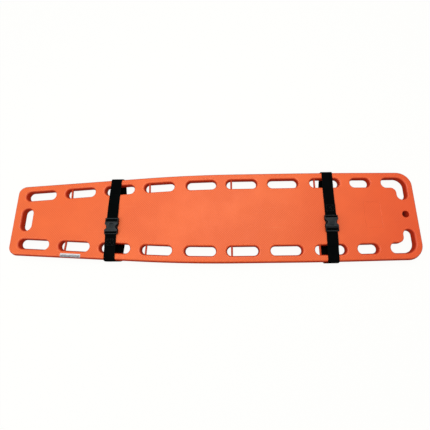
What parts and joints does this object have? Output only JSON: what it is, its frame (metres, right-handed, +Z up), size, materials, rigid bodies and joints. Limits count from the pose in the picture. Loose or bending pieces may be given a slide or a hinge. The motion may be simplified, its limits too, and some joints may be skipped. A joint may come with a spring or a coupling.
{
  "type": "spine board",
  "caption": "Long moulded rescue board for carrying a casualty, with handholds along both rails, clip pins, and two buckled webbing straps wrapped round it.",
  "frame": {"origin": "middle of the footprint, at the height of the surface that the strapped board lies on", "axes": "+X along the board towards the head end, +Y across it to the left of someone lying on it face up, +Z up out of the carrying face"},
  "size_m": [1.858, 0.4252, 0.0716],
  "materials": {
    "orange_shell": "fine stippled satin",
    "foam": "closed-cell foam",
    "pin": "smooth",
    "label": "satin film",
    "webbing": "woven webbing",
    "buckle_plastic": "moulded, lightly grained"
  },
  "bodies": {
    "board": {"board_shell": "orange_shell", "foam_core": "foam", "clip_pin_r2": "pin", "clip_pin_r4": "pin", "clip_pin_r6": "pin", "clip_pin_r8": "pin", "clip_pin_l2": "pin", "clip_pin_l4": "pin", "clip_pin_l6": "pin", "clip_pin_l8": "pin", "rail_label": "label"},
    "foot_strap": {"foot_webbing": "webbing", "foot_socket": "buckle_plastic"},
    "foot_release": {"foot_plug": "buckle_plastic", "foot_web_fold": "webbing"},
    "foot_arm_a": {"foot_arm_a": "buckle_plastic"},
    "foot_arm_b": {"foot_arm_b": "buckle_plastic"},
    "head_strap": {"head_webbing": "webbing", "head_socket": "buckle_plastic"},
    "head_release": {"head_plug": "buckle_plastic", "head_web_fold": "webbing"},
    "head_arm_a": {"head_arm_a": "buckle_plastic"},
    "head_arm_b": {"head_arm_b": "buckle_plastic"}
  },
  "joints": [
    {"name": "foot_strap_slide", "type": "slide", "parent": "board", "child": "foot_strap", "axis": [1, 0, 0], "range_m": [-0.06, 0]},
    {"name": "foot_buckle_pull", "type": "slide", "parent": "foot_strap", "child": "foot_release", "axis": [0, 1, 0], "range_m": [0, 0.038]},
    {"name": "foot_arm_a_flex", "type": "hinge", "parent": "foot_release", "child": "foot_arm_a", "pos_m": [-0.4445, -0.0187, 0.0651], "axis": [0, 0, -1], "range_deg": [0, 13.6]},
    {"name": "foot_arm_b_flex", "type": "hinge", "parent": "foot_release", "child": "foot_arm_b", "pos_m": [-0.4795, -0.0187, 0.0651], "axis": [0, 0, 1], "range_deg": [0, 13.6]},
    {"name": "head_strap_slide", "type": "slide", "parent": "board", "child": "head_strap", "axis": [1, 0, 0], "range_m": [-0.05, 0.05]},
    {"name": "head_buckle_pull", "type": "slide", "parent": "head_strap", "child": "head_release", "axis": [0, -1, 0], "range_m": [0, 0.038]},
    {"name": "head_arm_a_flex", "type": "hinge", "parent": "head_release", "child": "head_arm_a", "pos_m": [0.513, -0.0583, 0.0651], "axis": [0, 0, -1], "range_deg": [0, 13.6]},
    {"name": "head_arm_b_flex", "type": "hinge", "parent": "head_release", "child": "head_arm_b", "pos_m": [0.548, -0.0583, 0.0651], "axis": [0, 0, 1], "range_deg": [0, 13.6]}
  ],
  "couplings": [
    {"joint": "foot_arm_a_flex", "follows": "foot_buckle_pull", "rad_per_m": 6.2},
    {"joint": "foot_arm_b_flex", "follows": "foot_buckle_pull", "rad_per_m": 6.2},
    {"joint": "head_arm_a_flex", "follows": "head_buckle_pull", "rad_per_m": 6.2},
    {"joint": "head_arm_b_flex", "follows": "head_buckle_pull", "rad_per_m": 6.2}
  ]
}
